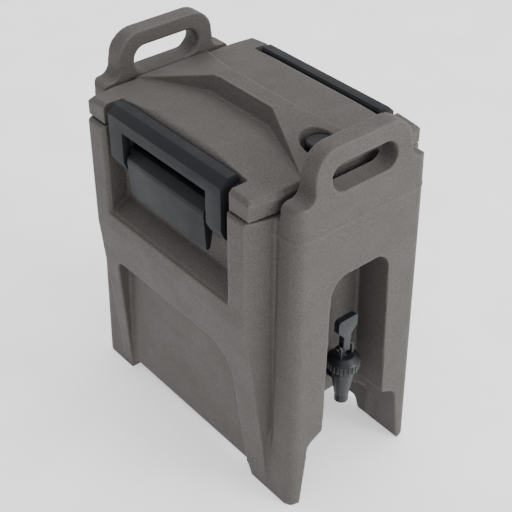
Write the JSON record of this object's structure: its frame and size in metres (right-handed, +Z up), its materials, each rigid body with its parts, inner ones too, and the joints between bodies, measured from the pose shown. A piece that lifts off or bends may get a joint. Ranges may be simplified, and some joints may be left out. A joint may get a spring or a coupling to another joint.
{
  "type": "insulated drinks carrier",
  "caption": "Foam-insulated drinks carrier with a clamped lid, vent cap, end handles, wide side latches and a draw-off faucet in a front alcove.",
  "frame": {"origin": "on the floor under the middle of the object", "axes": "+Z up, faucet end faces -Y, latches on the two X sides"},
  "size_m": [0.251, 0.378, 0.467],
  "materials": {
    "shell_plastic": "grained polyethylene, warm grey with fine speckle",
    "liner_plastic": "smooth food-safe polyethylene",
    "foam": "rigid foam",
    "seal_rubber": "silicone rubber",
    "black_plastic": "black nylon",
    "latch_nylon": "charcoal nylon, fine grain",
    "faucet_plastic": "black moulded faucet plastic",
    "steel": "stainless steel"
  },
  "bodies": {
    "body": {"body_shell": "shell_plastic", "body_foam": "foam", "tank_liner": "liner_plastic", "faucet_body": "faucet_plastic", "faucet_bonnet": "faucet_plastic", "handle_pin": "steel", "faucet_spring": "steel", "faucet_gasket": "seal_rubber", "inner_washer": "seal_rubber", "faucet_nut": "faucet_plastic", "outlet_sleeve": "liner_plastic", "right_latch_base": "black_plastic", "right_lever_pin": "steel", "right_latch_screws": "steel", "left_latch_base": "black_plastic", "left_lever_pin": "steel", "left_latch_screws": "steel"},
    "lid": {"lid_shell": "shell_plastic", "lid_foam": "foam", "lid_liner": "liner_plastic", "lid_gasket": "seal_rubber", "vent_seat": "black_plastic", "vent_gasket": "seal_rubber"},
    "vent_cap": {"vent_cap": "black_plastic"},
    "faucet_handle": {"faucet_handle": "faucet_plastic"},
    "faucet_stem": {"faucet_stem": "steel", "seat_cup": "seal_rubber"},
    "right_lever": {"right_latch_lever": "latch_nylon", "right_bail_pins": "steel"},
    "right_bail": {"right_latch_bail": "latch_nylon"},
    "left_lever": {"left_latch_lever": "latch_nylon", "left_bail_pins": "steel"},
    "left_bail": {"left_latch_bail": "latch_nylon"}
  },
  "joints": [
    {"name": "lid_lift", "type": "slide", "parent": "body", "child": "lid", "axis": [0, 0, 1], "range_m": [0, 0.035]},
    {"name": "right_lever_hinge", "type": "hinge", "parent": "body", "child": "right_lever", "pos_m": [0.108, 0, 0.374], "axis": [0, -1, 0], "range_deg": [0, 135]},
    {"name": "right_bail_hinge", "type": "hinge", "parent": "right_lever", "child": "right_bail", "pos_m": [0.11205, 0, 0.35646], "axis": [0, 1, 0], "range_deg": [0, 202.5]},
    {"name": "left_lever_hinge", "type": "hinge", "parent": "body", "child": "left_lever", "pos_m": [-0.108, 0, 0.374], "axis": [0, 1, 0], "range_deg": [0, 135]},
    {"name": "left_bail_hinge", "type": "hinge", "parent": "left_lever", "child": "left_bail", "pos_m": [-0.11205, 0, 0.35646], "axis": [0, -1, 0], "range_deg": [0, 202.5]},
    {"name": "vent_cap_turn", "type": "hinge", "parent": "lid", "child": "vent_cap", "pos_m": [0, -0.112, 0.42], "axis": [0, 0, 1], "range_deg": [0, 90]},
    {"name": "faucet_handle_tip", "type": "hinge", "parent": "body", "child": "faucet_handle", "pos_m": [0, -0.166, 0.184], "axis": [1, 0, 0], "range_deg": [0, 35], "stiffness_Nm_per_rad": 0.3},
    {"name": "faucet_stem_lift", "type": "slide", "parent": "body", "child": "faucet_stem", "axis": [0, 0, 1], "range_m": [0, 0.003], "deforming": ["faucet_spring"]}
  ],
  "couplings": [
    {"joint": "right_lever_hinge", "follows": "lid_lift", "rad_per_m": 67.319},
    {"joint": "right_bail_hinge", "follows": "lid_lift", "rad_per_m": 100.98},
    {"joint": "left_lever_hinge", "follows": "lid_lift", "rad_per_m": 67.319},
    {"joint": "left_bail_hinge", "follows": "lid_lift", "rad_per_m": 100.98},
    {"joint": "faucet_stem_lift", "follows": "faucet_handle_tip", "m_per_rad": 0.0049}
  ]
}
